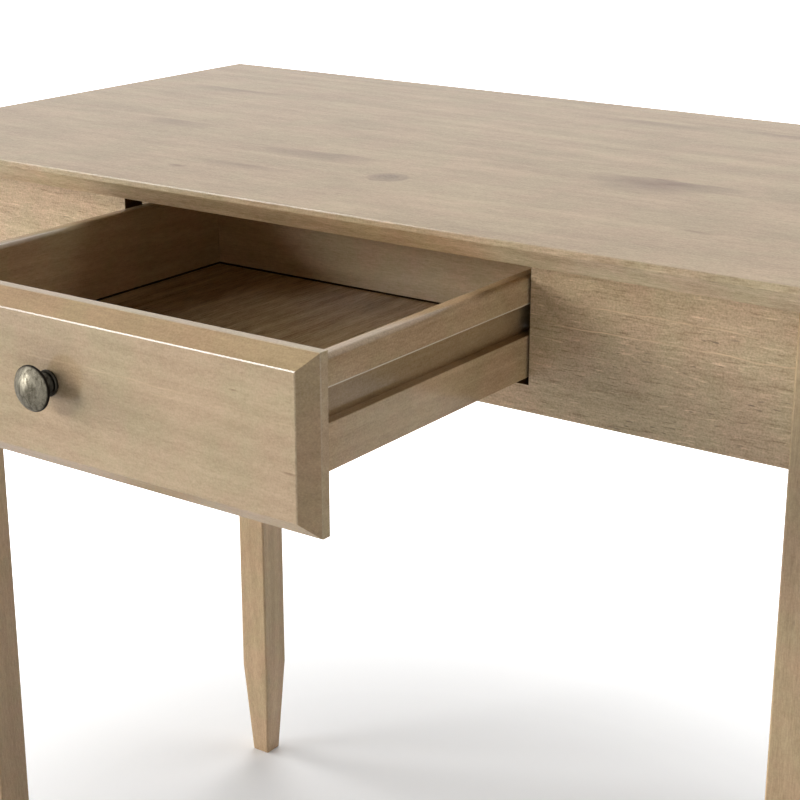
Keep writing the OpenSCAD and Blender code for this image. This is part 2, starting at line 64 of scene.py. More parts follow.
# Sizes that the CAD nodes' boxes don't tell: those of their cuts, and of eased edges
TOP_BEVEL = 14.5 * MM
TOP_EASE_IN = 0.35 * MM
TOP_EASE_DOWN = 0.95 * MM
TAPER_HEIGHT = 108 * MM
FOOT_WIDTH = 21 * MM
LEG_EASE = 2.2 * MM
FOOT_EASE = 1 * MM
APRON_EASE = 1.5 * MM
OPENING_HALF = 185.1 * MM
OPENING_RAIL = 20.5 * MM
OPENING_RADIUS = 4 * MM
OPENING_EASE = 0.5 * MM
FRONT_BEVEL = 10.4 * MM
FRONT_EASE = 0.5 * MM
ARRIS = 0.4 * MM
GROOVE_DEPTH = 7.2 * MM
GROOVE_LOW = 30.3 * MM
GROOVE_HIGH = 51.9 * MM
GROOVE_EASE = 0.6 * MM
LIP = 1.1 * MM
BOX_ROUND = 4 * MM
SLOT_DEPTH = 6 * MM
SLOT_LOW = 3.9 * MM
SLOT_HIGH = 10.9 * MM
# The bottom panel is painted dark as shade in its slots, and from this far outside them.
PANEL_SHADE = 0.2 * MM


# Node trees
def srgb(red, green, blue):
    """A colour as a picture states it, from 0 to 255, made linear."""
    parts = [value / 255 for value in (red, green, blue)]
    linear = [part / 12.92 if part <= 0.04045 else ((part + 0.055) / 1.055) ** 2.4
              for part in parts]
    return linear + [1]


def grey(level):
    """A grey, from 0 to 1, already linear."""
    return (level, level, level, 1)


class Value:
    """A socket in a node tree. Python's operators on it add Math nodes."""

    def __init__(self, tree, socket):
        self.tree = tree
        self.socket = socket

    def math(self, operation, *others):
        """Any other operation of a Math node, with this socket as its first input."""
        return self.tree.node("Math", {"operation": operation}, dict(enumerate((self, *others))))

    def __add__(self, other):
        return self.math("ADD", other)

    def __mul__(self, other):
        return self.math("MULTIPLY", other)

    def __sub__(self, other):
        return self.math("SUBTRACT", other)

    def __rsub__(self, other):
        return self.tree.node("Math", {"operation": "SUBTRACT"}, {0: other, 1: self})

    __radd__ = __add__
    __rmul__ = __mul__


class Tree:
    """A node tree, built up node by node."""

    def __init__(self, node_tree):
        self.nodes = node_tree.nodes
        self.links = node_tree.links

    def node(self, kind, settings=None, inputs=None, output=0):
        """A new node's output. Its settings come first, then the values or links of its sockets."""
        made = self.nodes.new("ShaderNode" + kind)
        for name, setting in (settings or {}).items():
            if name == "stops":
                self.set_stops(made.color_ramp, setting)
            else:
                setattr(made, name, setting)
        for name, value in (inputs or {}).items():
            self.feed(made.inputs[name], value)
        return Value(self, made.outputs[output])

    def set_stops(self, ramp, stops):
        """Each stop is a position with a level of grey or a colour."""
        while len(ramp.elements) < len(stops):
            ramp.elements.new(0.5)
        for element, (position, level) in zip(ramp.elements, stops):
            element.position = position
            element.color = level if isinstance(level, tuple) else grey(level)

    def feed(self, socket, value):
        if isinstance(value, Value):
            self.links.new(value.socket, socket)
        else:
            socket.default_value = value

    def ray(self, kind):
        """1 for rays of a kind and 0 for others."""
        return self.node("LightPath", output=f"Is {kind} Ray")

    def mix(self, first, second, factor, blend="MIX"):
        """Two colours mixed. They are the node's inputs 6 and 7, and its output 2 is the mix."""
        settings = {"data_type": "RGBA", "blend_type": blend, "clamp_factor": False}
        return self.node("Mix", settings, {0: factor, 6: first, 7: second}, 2)

    def mix_shaders(self, first, second, factor):
        return self.node("MixShader", {}, {0: factor, 1: first, 2: second})

    def minus(self, vector, other):
        return self.node("VectorMath", {"operation": "SUBTRACT"}, {0: vector, 1: other})

    def times(self, vector, scale):
        return self.node("VectorMath", {"operation": "MULTIPLY"}, {0: vector, 1: scale})

    def length(self, vector):
        return self.node("VectorMath", {"operation": "LENGTH"}, {0: vector}, "Value")

    def axis(self, vector, index):
        return self.node("SeparateXYZ", {}, {0: vector}, index)

    def ramp(self, value, *stops):
        return self.node("ValToRGB", {"stops": stops}, {0: value})

    def noise(self, vector, scale, detail, roughness=0.5, distortion=0.0):
        inputs = {"Vector": vector, "Scale": scale, "Detail": detail, "Roughness": roughness,
                  "Distortion": distortion}
        return self.node("TexNoise", {}, inputs)

    def grained(self, vector, along, across, detail, roughness=0.5):
        """Noise drawn out along X, with so many cells to the metre along and across it."""
        return self.noise(self.times(vector, (along, across, across)), 1, detail, roughness)


class Finish(Tree):
    """A procedural material on Object coordinates, built up round its shader."""

    def __init__(self, name):
        self.material = bpy.data.materials.new(name)
        self.material.use_nodes = True
        super().__init__(self.material.node_tree)
        self.coords = self.node("TexCoord", output="Object")

    def shade(self, inputs):
        """Feeds the shader's inputs, by name."""
        for name, value in inputs.items():
            self.feed(self.nodes["Principled BSDF"].inputs[name], value)

    def bump(self, strength, distance, height):
        return self.node("Bump", {}, {"Strength": strength, "Distance": distance, "Height": height})


# Pine
GRAIN_TURN = {
    "X": (0, 0, 0),
    "Y": (0, 0, -math.pi / 2),
    "Z": (0, math.pi / 2, 0),
    "diagonal": (0, 0, math.pi / 4),
}
PINE = srgb(197, 170, 134)
PINE_DARK = srgb(171, 144, 110)
WARM = (1.025, 0.988, 0.995, 1)
GREEN = (0.965, 1.0, 0.965, 1)
CREAM = (0.78, 0.58, 0.36, 1)
PIT = (0.16, 0.11, 0.07, 1)
KNOT_HEART = (0.50, 0.43, 0.38, 1)
KNOT_RING = (0.66, 0.60, 0.55, 1)
SMOKE = (0.55, 0.47, 0.41, 1)

# The log: its rings to the metre, the depth of its heart under a board, how much the board
# leans out of it along its length, and how far the grain strays, in metres.
RINGS = 85
HEART_DEPTH = 0.09
LEAN = 0.035
STRAY = 0.09


def stain(finish, centre, size):
    """A soft-ended patch, centre and half sizes in metres, with a crisp far or upper side."""
    local = finish.times(finish.minus(finish.coords, centre), [1 / part for part in size])
    ragged = finish.grained(finish.coords, 14, 45, 3) - 0.5
    rise = finish.axis(local, 1) + finish.axis(local, 2)
    side = finish.ramp(rise + ragged * 0.9, (0.28, 1), (0.42, 0))
    return finish.ramp(finish.length(local) + ragged, (0.1, 1), (0.95, 0)) * side


def knot(finish, centre, radius):
    """A round knot on a level face: its heart, and the dark ring on its near side."""
    local = finish.times(finish.minus(finish.coords, centre), (1 / radius, 1 / radius, 0))
    reach = finish.length(local) + (finish.noise(local, 2.5, 3) - 0.5) * 0.5
    mottle = finish.ramp(finish.noise(local, 6, 2), (0.3, 0.6), (0.7, 1))
    nearness = (finish.axis(local, 0) - finish.axis(local, 1)) * 0.4 + 0.5
    near_side = finish.ramp(nearness, (0.25, 0), (0.75, 1))
    heart = finish.ramp(reach, (0.4, 1), (1, 0)) * mottle
    ring = finish.ramp(reach, (0.62, 0), (0.82, 0.7), (1, 0)) * near_side
    return heart, ring


def scratch(finish, start, end, height):
    """A fine wavering line along X at one height, between two places, all in metres."""
    waver = (finish.grained(finish.coords, 16, 0, 3) - 0.5) * 0.009
    off = (finish.axis(finish.coords, 2) + waver - height).math("ABSOLUTE")
    middle, half = (start + end) / 2, (end - start) / 2
    from_middle = (finish.axis(finish.coords, 0) - middle).math("ABSOLUTE")
    ends = finish.ramp(from_middle * (1 / half), (0.75, 1), (1, 0))
    broken = finish.ramp(finish.noise(finish.coords, 60, 2), (0.35, 0.25), (0.6, 1))
    return finish.ramp(off * (1 / MM), (0.25, 1), (0.75, 0)) * ends * broken


def pine(name, grain, shift=(0, 0, 0), light=PINE, dark=PINE_DARK, figure=1.0, rough=0.0,
         stretch=1.0, soft=0.0, gloss=1.0, tint=1.0, knots=(), marks=(), scratches=()):
    """Greyed pine. The grain runs along one axis, and shift, in metres, picks the part of the log.

    figure is the strength of the grain, and stretch draws it out. soft, from 0 to 1, turns its
    lines into blotches, and rough adds torn fibres, fuzz and pits. gloss is the strength of the
    lacquer, and tint that of the patches that lean to red or green. knots are each (centre,
    radius), marks are smoky stains, each (centre, half sizes, strength), and scratches are
    raised fibres along X, each (start, end, height, strength).
    """
    finish = Finish(name)
    place = finish.node("Mapping", {}, {"Vector": finish.coords, "Location": shift,
                                        "Rotation": GRAIN_TURN[grain]})
    across = finish.axis(place, 1) + finish.grained(place, 1.3, 7, 2) * STRAY
    depth = finish.axis(place, 2) + finish.axis(place, 0) * LEAN + HEART_DEPTH
    radius = (across * across + depth * depth).math("SQRT")
    streaks = finish.grained(place, 6 / stretch, 80, 4, 0.62)
    growth = (radius * RINGS + streaks * 0.8).math("FRACT")
    rings = finish.ramp(growth, (0, 0), (0.7, 1), (0.86, 0.9), (1, 0))
    clouds = finish.grained(place, 12, 26, 3, 0.6)
    fibres = finish.grained(place, 45 / stretch, 420, 2, 0.6)
    hairs = finish.grained(place, 150 / stretch, 1200, 1)
    fuzz = finish.noise(place, 750, 1) - 0.5
    dots = finish.ramp(finish.grained(place, 110, 520, 1), (0.70 - 0.02 * rough, 0), (0.75, 1))
    pits = dots * finish.ramp(finish.grained(place, 14, 40, 1), (0.5, 0), (0.62, 1))

    lines = 1 - 0.55 * soft
    shade = (streaks - 0.5) * (1.2 * lines) + (rings - 0.5) * 0.22 + (clouds - 0.5) * (0.7 + soft)
    shade = shade + (fibres - 0.5) * (0.8 * lines) + (hairs - 0.5) * (1.3 * lines)
    shade = shade + fuzz * (0.9 + 0.6 * soft)
    height = fibres * 0.5 + streaks * 0.5 + hairs * 0.4
    if rough:
        torn = finish.grained(place, 60, 560, 2)
        raised = finish.ramp(torn, (0.60, 0), (0.72, 1))
        sunk = finish.ramp(torn, (0.27, 1), (0.40, 0))
        shade = shade + (sunk * 0.9 - raised * 1.3 + fuzz * 1.5) * rough
        height = height + (raised - sunk + fuzz) * rough
    height = height - pits * (0.5 + rough)

    colour = finish.mix(light, dark, shade * figure + 0.42)
    patches = finish.ramp(finish.noise(place, 24, 3, 0.6), (0.4, WARM), (0.6, GREEN))
    colour = finish.mix(colour, patches, tint, "MULTIPLY")
    colour = finish.mix(colour, PIT, pits * (0.25 + 0.45 * rough))
    for centre, size in knots:
        heart, ring = knot(finish, centre, size)
        colour = finish.mix(colour, KNOT_HEART, heart, "MULTIPLY")
        colour = finish.mix(colour, KNOT_RING, ring, "MULTIPLY")
    for centre, size, strength in marks:
        colour = finish.mix(colour, SMOKE, stain(finish, centre, size) * strength, "MULTIPLY")
    for start, end, level, strength in scratches:
        line = scratch(finish, start, end, level) * strength
        colour = finish.mix(colour, CREAM, line)
        height = height + line
    finish.shade({"Base Color": colour, "Roughness": clouds * 0.12 + (0.34 + 0.2 * rough),
                  "Normal": finish.bump(0.25 + 0.45 * rough, 0.6 * MM, height),
                  "Specular IOR Level": 0, "Coat Weight": gloss,
                  "Coat Roughness": 0.17 + 0.25 * rough})
    return finish.material


# Metals
def zinc_plate():
    """Zinc plated steel, faintly clouded."""
    finish = Finish("zinc plated steel")
    cloud = finish.ramp(finish.noise(finish.coords, 90, 4, 0.65, 0.6), (0.36, 0), (0.66, 1))
    grit = finish.noise(finish.coords, 810, 2)
    colour = finish.mix(srgb(176, 176, 172), srgb(140, 140, 134), cloud * 0.8 + grit * 0.25)
    finish.shade({"Base Color": colour, "Metallic": 1, "Roughness": cloud * 0.15 + 0.3,
                  "Normal": finish.bump(0.15, 0.2 * MM, grit)})
    return finish.material


def pewter():
    """Antique pewter: rubbed bright on the dome. Round its rim it is darkened, partly as patina and
    partly as a painted dark reflection; behind the head, partly as patina in the neck's hollow and
    partly as painted shade under the head.
    """
    low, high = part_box("knob")
    ramp_span = 16 * MM
    finish = Finish("antique pewter")
    middle = ((low.x + high.x) / 2, 0, (low.z + high.z) / 2)
    from_axis = finish.length(finish.times(finish.minus(finish.coords, middle), (1, 0, 1)))
    from_base = high.y - finish.axis(finish.coords, 1)
    cloud = finish.noise(finish.times(finish.coords, (340, 340, 120)), 1, 4, 0.6, 0.8)
    grit = finish.noise(finish.coords, 1500, 2)
    # The dark rim is partly patina and partly a painted dark reflection at the dome's edge.
    rim = finish.ramp(from_axis * (1 / ramp_span) + (cloud - 0.5) * 0.015, (0.865, 0), (0.915, 1))
    # Behind the head it darkens: patina in the neck's hollow, and painted shade under the head.
    back = finish.ramp(from_base * (1 / ramp_span), (0.86, 1), (0.95, 0))
    worn = finish.ramp(cloud + (grit - 0.5) * 0.25, (0.34, 0), (0.66, 1))
    colour = finish.mix(srgb(158, 151, 134), srgb(92, 86, 73), worn)
    colour = finish.mix(colour, srgb(26, 22, 18), (rim + back * 0.85).math("MINIMUM", 1))
    finish.shade({"Base Color": colour, "Metallic": 1, "Roughness": worn * 0.12 + 0.36,
                  "Normal": finish.bump(0.12, 0.2 * MM, cloud + grit * 0.3)})
    return finish.material


# Modelling
def block(node):
    """A box that fills a CAD node's own."""
    low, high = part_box(node)
    bm = bmesh.new()
    bmesh.ops.create_cube(bm, size=1)
    bmesh.ops.scale(bm, vec=high - low, verts=bm.verts)
    bmesh.ops.translate(bm, vec=(low + high) / 2, verts=bm.verts)
    return bm


def plate(points, thickness):
    """An outline, drawn as full 3D points, pushed along thickness."""
    bm = bmesh.new()
    face = bm.faces.new([bm.verts.new(point) for point in points])
    pushed = bmesh.ops.extrude_face_region(bm, geom=[face])["geom"]
    moved = [item for item in pushed if isinstance(item, bmesh.types.BMVert)]
    bmesh.ops.translate(bm, vec=thickness, verts=moved)
    bmesh.ops.recalc_face_normals(bm, faces=bm.faces)
    return bm


def edges_where(bm, test):
    """The edges whose two ends both pass the test."""
    return [edge for edge in bm.edges if all(test(vert.co) for vert in edge.verts)]


def along(edges, axis):
    """Those edges that run along one axis."""
    return [edge for edge in edges
            if abs((edge.verts[1].co - edge.verts[0].co)[axis]) > 0.99 * edge.calc_length()]


def bevel(bm, edges, width, segments=1):
    """Bevels the edges, flat with one segment and rounded with more."""
    bmesh.ops.bevel(bm, geom=edges, offset=width, offset_type="OFFSET", segments=segments,
                    profile=0.5, affect="EDGES", material=-1)


def cut(bm, axis, *places):
    """Cuts the mesh across at each place, which keeps a corner's shading out of the long faces."""
    normal = Vector([float(i == axis) for i in range(3)])
    for place in places:
        everything = bm.verts[:] + bm.edges[:] + bm.faces[:]
        bmesh.ops.bisect_plane(bm, geom=everything, plane_co=normal * place, plane_no=normal)


BODY_OF = {node: body for body, nodes in frame["record"]["behaviour"]["bodies"].items()
           for node in nodes}
# The least turn at a sharp edge, in degrees. Facets of a rounded edge turn by less.
ROUNDED = 31


def piece(node, bm, material, crisp=ROUNDED, painted_light_coats=()):
    """Turns a bmesh into the finished piece of a CAD node.

    Edges of crisp degrees or more stay sharp. painted_light_coats are the materials of single faces,
    each after the test that picks them. These materials paint light or shade on those faces.
    """
    bmesh.ops.recalc_face_normals(bm, faces=bm.faces)
    for face in bm.faces:
        fits = [i + 1 for i, (test, _) in enumerate(painted_light_coats) if test(face)]
        face.material_index = fits[0] if fits else 0
    for edge in bm.edges:
        edge.smooth = edge.calc_face_angle(0) < math.radians(crisp)
    mesh = bpy.data.meshes.new("dressed_" + node)
    bm.to_mesh(mesh)
    bm.free()
    mesh.materials.append(material)
    for _, coat in painted_light_coats:
        mesh.materials.append(coat)
    mesh.shade_smooth()
    made = bpy.data.objects.new("dressed_" + node, mesh)
    bpy.context.scene.collection.objects.link(made)
    made.modifiers.new("Even shading", "WEIGHTED_NORMAL").keep_sharp = True
    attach(made, BODY_OF[node])
    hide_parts(node)


# Desk
def tabletop():
    """The top: its upper edge eased steeply, and its underside bevelled up to a thin band."""
    low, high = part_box("tabletop")
    end = 16 * MM
    bm = block("tabletop")
    bevel(bm, edges_where(bm, lambda p: p.z < low.z + HAIR), TOP_BEVEL)
    bmesh.ops.inset_region(bm, faces=[face for face in bm.faces if face.normal.z > 0.9],
                           thickness=TOP_EASE_IN)
    rim = [vert for vert in bm.verts if vert.co.z > high.z - HAIR
           and min(vert.co.x - low.x, high.x - vert.co.x, vert.co.y - low.y, high.y - vert.co.y) < HAIR]
    bmesh.ops.translate(bm, vec=(0, 0, -TOP_EASE_DOWN), verts=rim)
    shoulder = low.z + TOP_BEVEL
    bevel(bm, edges_where(bm, lambda p: abs(p.z - shoulder) < HAIR), ARRIS)
    cut(bm, 0, low.x + end, high.x - end)
    cut(bm, 1, low.y + end, high.y - end)
    return bm


def leg(node):
    """A square leg with eased corners that tapers to its foot."""
    low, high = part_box(node)
    middle = (low + high) / 2
    bm = block(node)
    cut(bm, 2, TAPER_HEIGHT)
    narrow = FOOT_WIDTH / (high.x - low.x)
    foot = [vert for vert in bm.verts if vert.co.z < HAIR]
    bmesh.ops.scale(bm, vec=(narrow, narrow, 1), verts=foot, space=Matrix.Translation(-middle))
    corners = [edge for edge in bm.edges if abs(edge.verts[0].co.z - edge.verts[1].co.z) > HAIR]
    bevel(bm, corners, LEG_EASE, 4)
    bevel(bm, edges_where(bm, lambda p: p.z < HAIR), FOOT_EASE, 2)
    cut(bm, 2, 3 * MM, TAPER_HEIGHT - 2 * MM, TAPER_HEIGHT + 2 * MM)
    return bm


def plain_apron(node):
    """An uncut apron with its lower edges eased."""
    low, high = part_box(node)
    end = 3 * MM
    bm = block(node)
    bevel(bm, edges_where(bm, lambda p: p.z < low.z + HAIR), APRON_EASE, 3)
    cut(bm, 0, low.x + end, high.x - end)
    cut(bm, 1, low.y + end, high.y - end)
    return bm


def front_apron():
    """The front apron, cut down to a low rail for the drawer."""
    low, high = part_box("apron_front")
    end = 3 * MM
    corner = OPENING_RADIUS + 2 * MM
    sill = low.z + OPENING_RAIL
    outline = [(low.x, low.z), (high.x, low.z), (high.x, high.z), (OPENING_HALF, high.z),
               (OPENING_HALF, sill), (-OPENING_HALF, sill), (-OPENING_HALF, high.z),
               (low.x, high.z)]
    bm = plate([(x, low.y, z) for x, z in outline], (0, high.y - low.y, 0))
    corners = edges_where(bm, lambda p: abs(abs(p.x) - OPENING_HALF) < HAIR
                          and abs(p.z - sill) < HAIR)
    bevel(bm, corners, OPENING_RADIUS, 6)
    rim = edges_where(bm, lambda p: p.y < low.y + HAIR and abs(p.x) < OPENING_HALF + HAIR
                      and p.z > sill - HAIR)
    bevel(bm, rim, OPENING_EASE, 2)
    bevel(bm, edges_where(bm, lambda p: p.z < low.z + HAIR), APRON_EASE, 3)
    cut(bm, 0, low.x + end, corner - OPENING_HALF, OPENING_HALF - corner, high.x - end)
    cut(bm, 2, sill + corner)
    return bm


# Drawer
def drawer_front():
    """The drawer's front, bevelled on all four sides and eased along every edge."""
    low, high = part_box("drawer_front")
    bm = block("drawer_front")
    bevel(bm, edges_where(bm, lambda p: p.y < low.y + HAIR), FRONT_BEVEL)
    bevel(bm, edges_where(bm, lambda p: p.y < low.y + HAIR), FRONT_EASE)
    shoulder = low.y + FRONT_BEVEL
    bevel(bm, edges_where(bm, lambda p: abs(p.y - shoulder) < HAIR), ARRIS)
    bevel(bm, edges_where(bm, lambda p: p.y > high.y - HAIR), ARRIS)
    reach = FRONT_BEVEL + 2 * MM
    cut(bm, 0, low.x + reach, high.x - reach)
    cut(bm, 2, low.z + reach, high.z - reach)
    return bm


def drawer_side(node):
    """A side, grooved outside for its runner and inside for the bottom, with a rounded top."""
    low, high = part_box(node)
    facing = 1 if low.x > 0 else -1
    outer = max(abs(low.x), abs(high.x))
    inner = min(abs(low.x), abs(high.x))
    outline = [(inner, 0), (outer, 0), (outer, GROOVE_LOW), (outer - GROOVE_DEPTH, GROOVE_LOW),
               (outer - GROOVE_DEPTH, GROOVE_HIGH), (outer, GROOVE_HIGH), (outer, high.z - low.z),
               (inner, high.z - low.z), (inner, SLOT_HIGH), (inner + SLOT_DEPTH, SLOT_HIGH),
               (inner + SLOT_DEPTH, SLOT_LOW), (inner, SLOT_LOW)]
    bm = plate([(facing * x, low.y, low.z + z) for x, z in outline], (0, high.y - low.y, 0))
    bevel(bm, along(edges_where(bm, lambda p: p.z > high.z - HAIR), 1), BOX_ROUND, 6)
    flat_top = high.z - BOX_ROUND - MM
    lips = edges_where(bm, lambda p: abs(abs(p.x) - outer) < HAIR and p.z < flat_top)
    bevel(bm, along(lips, 1), GROOVE_EASE, 2)
    cut(bm, 2, low.z + GROOVE_HIGH + LIP)
    return bm


def drawer_back():
    """The back, grooved for the bottom, with a rounded top."""
    low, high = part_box("drawer_back")
    outline = [(low.y, 0), (high.y, 0), (high.y, high.z - low.z), (low.y, high.z - low.z),
               (low.y, SLOT_HIGH), (low.y + SLOT_DEPTH, SLOT_HIGH), (low.y + SLOT_DEPTH, SLOT_LOW),
               (low.y, SLOT_LOW)]
    bm = plate([(low.x, y, low.z + z) for y, z in outline], (high.x - low.x, 0, 0))
    bevel(bm, along(edges_where(bm, lambda p: p.z > high.z - HAIR), 0), BOX_ROUND, 6)
    return bm


def bottom_panel():
    """The bottom, cut where it goes into its slots, so that it can be painted dark as shade there."""
    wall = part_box("drawer_side_right")[0].x - PANEL_SHADE
    bm = block("drawer_bottom")
    cut(bm, 0, -wall, wall)
    cut(bm, 1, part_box("drawer_back")[0].y - PANEL_SHADE)
    return bm


# The knob's outline up to its dome: radius and height off the drawer, in millimetres.
KNOB_PROFILE = [(0, 0), (8.2, 0), (8.6, 0.5), (8.6, 1.7), (8.1, 2.4), (7.0, 2.4), (7.0, 3.2),
                (6.4, 3.7), (5.3, 4.9), (4.8, 6.6), (4.9, 8.6), (5.6, 10.4), (7.2, 11.8),
                (12.2, 12.7), (14.3, 13.4), (14.9, 13.8), (15.0, 14.3), (14.9, 14.8), (14.6, 15.2)]
DOME_RINGS = 12
KNOB_FACETS = 64


def knob():
    """The knob's profile and the round dome on it, spun about its axis."""
    low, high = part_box("knob")
    rim_radius, rim_height = KNOB_PROFILE[-1]
    top = (high.y - low.y) / MM
    crown = top - rim_height
    ball = (rim_radius ** 2 + crown ** 2) / (2 * crown)
    spread = math.asin(rim_radius / ball)
    angles = [spread * (1 - i / DOME_RINGS) for i in range(1, DOME_RINGS + 1)]
    dome = [(ball * math.sin(angle), top - ball + ball * math.cos(angle)) for angle in angles]
    axis = Vector(((low.x + high.x) / 2, high.y, (low.z + high.z) / 2))
    bm = bmesh.new()
    line = [bm.verts.new(axis + Vector((radius * MM, -height * MM, 0)))
            for radius, height in KNOB_PROFILE + dome]
    edges = [bm.edges.new(pair) for pair in zip(line, line[1:])]
    bmesh.ops.spin(bm, geom=line + edges, cent=axis, axis=(0, 1, 0), angle=2 * math.pi,
                   steps=KNOB_FACETS, use_merge=True)
    bmesh.ops.remove_doubles(bm, verts=bm.verts, dist=0.01 * MM)
    return bm


# Faces with a material of their own
def in_opening(face):
    """The opening's own faces in the front apron, with their eased edge, which are painted dark as
    shade.
    """
    low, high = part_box("apron_front")
    place = face.calc_center_median()
    reach = OPENING_EASE + 2 * NEAR
    return (abs(place.x) < OPENING_HALF + reach
            and low.z + OPENING_RAIL - reach < place.z < high.z - HAIR
            and abs(face.normal.y) < 0.95)


def in_slot(face):
    """The slot that holds the drawer's bottom panel, and the part of the panel inside it, which are
    painted dark as shade.
    """
    place = face.calc_center_median()
    wall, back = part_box("drawer_side_right")[0].x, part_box("drawer_back")[0]
    start = PANEL_SHADE + NEAR
    end = SLOT_DEPTH + NEAR
    level = SLOT_LOW - NEAR < place.z - back.z < SLOT_HIGH + NEAR
    beside = -start < abs(place.x) - wall < end
    behind = -start < place.y - back.y < end
    return level and (beside or behind)


def on_edge(face):
    """The tabletop's edge and the bevel under it, which are painted lighter as painted light."""
    return face.normal.z < 0.5


def on_bevel(face):
    """The wide bevels round the drawer's front, which are painted darker as shade."""
    return -0.9 < face.normal.y < -0.4


def in_groove(face):
    """The groove for the runner, outside a drawer side, which is painted darker as shade."""
    place = face.calc_center_median()
    low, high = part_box("drawer_side_right")
    return (GROOVE_LOW - HAIR < place.z - low.z < GROOVE_HIGH + HAIR
            and high.x - GROOVE_DEPTH - HAIR < abs(place.x) < high.x - GROOVE_EASE)


def on_lip(face):
    """The edge over that groove, painted pale as a highlight."""
    place = face.calc_center_median()
    low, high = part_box("drawer_side_right")
    return (GROOVE_HIGH - HAIR < place.z - low.z < GROOVE_HIGH + LIP
            and abs(place.x) > high.x - GROOVE_EASE)


# Dark pine painted on as shade: on the faces of the apron's opening, and in the slots for the drawer's
# bottom.
painted_shade = pine("raw pine in shade", "X", light=srgb(84, 64, 44), dark=srgb(62, 46, 30), gloss=0.0)
# Darker pine in the runner's groove: painted shade.
groove_painted_shade = pine("pine in the groove", "Y", soft=0.6, tint=0.4,
                   light=srgb(172, 146, 110), dark=srgb(148, 122, 88))
# Pale pine on the edge over the groove: a painted highlight.
lip_painted_highlight = pine("pine painted pale as a highlight", "Y", soft=0.6,
                light=srgb(222, 206, 182), dark=srgb(204, 188, 162))
# Darker, more saturated pine on the drawer front's bevels: painted shade.
bevel_painted_shade = pine("pine on the bevels", "X", (0.3, 0, 0), soft=0.6,
                  light=srgb(192, 162, 122), dark=srgb(166, 137, 100))
# Lighter pine on the tabletop's edge and under-bevel: painted light.
edge_painted_light = pine("pine tabletop edge", "X", (0.2, 0, 0), figure=1.5, gloss=0.45,
                 light=srgb(208, 186, 154), dark=srgb(178, 156, 126))
# Faces given painted light or shade: dark pine as shade in the slots, groove and opening, a painted
# highlight on the groove's lip, painted shade on the drawer front's bevels, and painted light on the
# tabletop's edge.
SIDE_PAINTED_LIGHT_AND_SHADE = [(in_slot, painted_shade), (in_groove, groove_painted_shade), (on_lip, lip_painted_highlight)]
PAINTED_LIGHT_AND_SHADE = {
    "tabletop": [(on_edge, edge_painted_light)],
    "apron_front": [(in_opening, painted_shade)],
    "drawer_front": [(on_bevel, bevel_painted_shade)],
    "drawer_side_left": SIDE_PAINTED_LIGHT_AND_SHADE,
    "drawer_side_right": SIDE_PAINTED_LIGHT_AND_SHADE,
    "drawer_back": [(in_slot, painted_shade)],
    "drawer_bottom": [(in_slot, painted_shade)],
}

# How the grain runs in each wooden node. A node's place here also picks its part of the log.
GRAIN = {
    "tabletop": "X", "leg_front_left": "Z", "leg_front_right": "Z", "leg_back_left": "Z",
    "leg_back_right": "Z", "apron_front": "X", "apron_back": "X", "apron_left": "Y",
    "apron_right": "Y", "drawer_front": "X", "drawer_side_left": "Y", "drawer_side_right": "Y",
    "drawer_back": "X", "drawer_bottom": "Y", "runner_left": "Y", "runner_right": "Y",
    "top_cleat_left": "Y", "top_cleat_right": "Y", "top_cleat_back": "X", "stop_cleat": "X",
    "corner_block_front_left": "diagonal", "corner_block_front_right": "diagonal",
    "corner_block_back_left": "diagonal", "corner_block_back_right": "diagonal",
    "drawer_stop": "X", "apron_dowels": "X", "runner_dowels": "Y", "drawer_dowels": "Y",
}
# The dark marks seen on the top: x, y, half their length and width, and strength. They reach
# right through the board, as do those on the drawer's front.
THROUGH = 0.3
TOP_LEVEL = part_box("tabletop")[1].z
DRAWER_PLACE = -0.35
TOP_MARKS = [((x, y, TOP_LEVEL), (length, width, THROUGH), strength)
             for x, y, length, width, strength in (
                 (-0.276, 0.075, 0.050, 0.024, 0.7),
                 (-0.100, -0.040, 0.060, 0.016, 0.7),
                 (-0.076, 0.028, 0.062, 0.026, 0.8),
                 (-0.145, -0.070, 0.012, 0.007, 0.9),
                 (-0.338, 0.238, 0.070, 0.016, 0.7),
                 (0.200, 0.085, 0.078, 0.040, 1.3),
                 (0.060, 0.305, 0.080, 0.024, 0.6),
                 (0.185, 0.315, 0.050, 0.018, 0.6),
                 (0.283, -0.040, 0.020, 0.005, 0.7))]
FRONT_MARKS = [((0.190, DRAWER_PLACE, 0.6695), (0.007, THROUGH, 0.0016), 0.9),
               ((0.150, DRAWER_PLACE, 0.712), (0.004, THROUGH, 0.0012), 0.8)]
